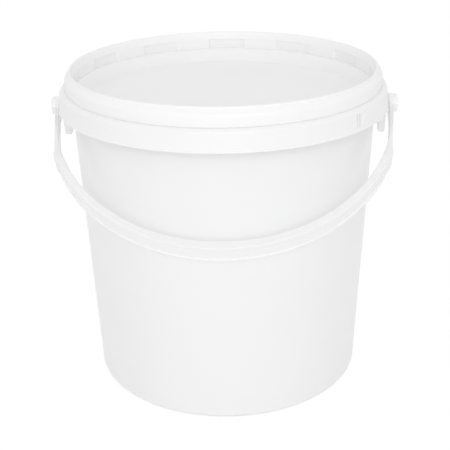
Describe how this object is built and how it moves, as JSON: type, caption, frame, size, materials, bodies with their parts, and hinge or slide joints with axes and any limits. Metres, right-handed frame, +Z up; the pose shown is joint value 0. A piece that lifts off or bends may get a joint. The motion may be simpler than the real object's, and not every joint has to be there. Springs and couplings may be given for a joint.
{
  "type": "lidded bucket",
  "caption": "Round tapered plastic bucket with a clip-on recessed lid, a collar with side ears and a swinging bail handle.",
  "frame": {"origin": "centre of the foot ring, on the surface that the bucket stands on", "axes": "+Z up, +X through the right-hand ear and pin along the handle's pivot axis, -Y towards the front, where the handle leans"},
  "size_m": [0.2822, 0.268, 0.2633],
  "materials": {
    "pail": "white moulded polypropylene, satin gloss",
    "lid": "white moulded polypropylene, slightly translucent",
    "handle": "white moulded polypropylene, satin gloss"
  },
  "bodies": {
    "pail": {"pail": "pail"},
    "lid": {"lid": "lid"},
    "handle": {"handle": "handle"}
  },
  "joints": [
    {"name": "handle_swing", "type": "hinge", "parent": "pail", "child": "handle", "pos_m": [0, 0, 0.2295], "axis": [-1, 0, 0], "range_deg": [0, 238]},
    {"name": "lid_lift", "type": "slide", "parent": "pail", "child": "lid", "axis": [0, 0, 1], "range_m": [0, 0.03]}
  ]
}
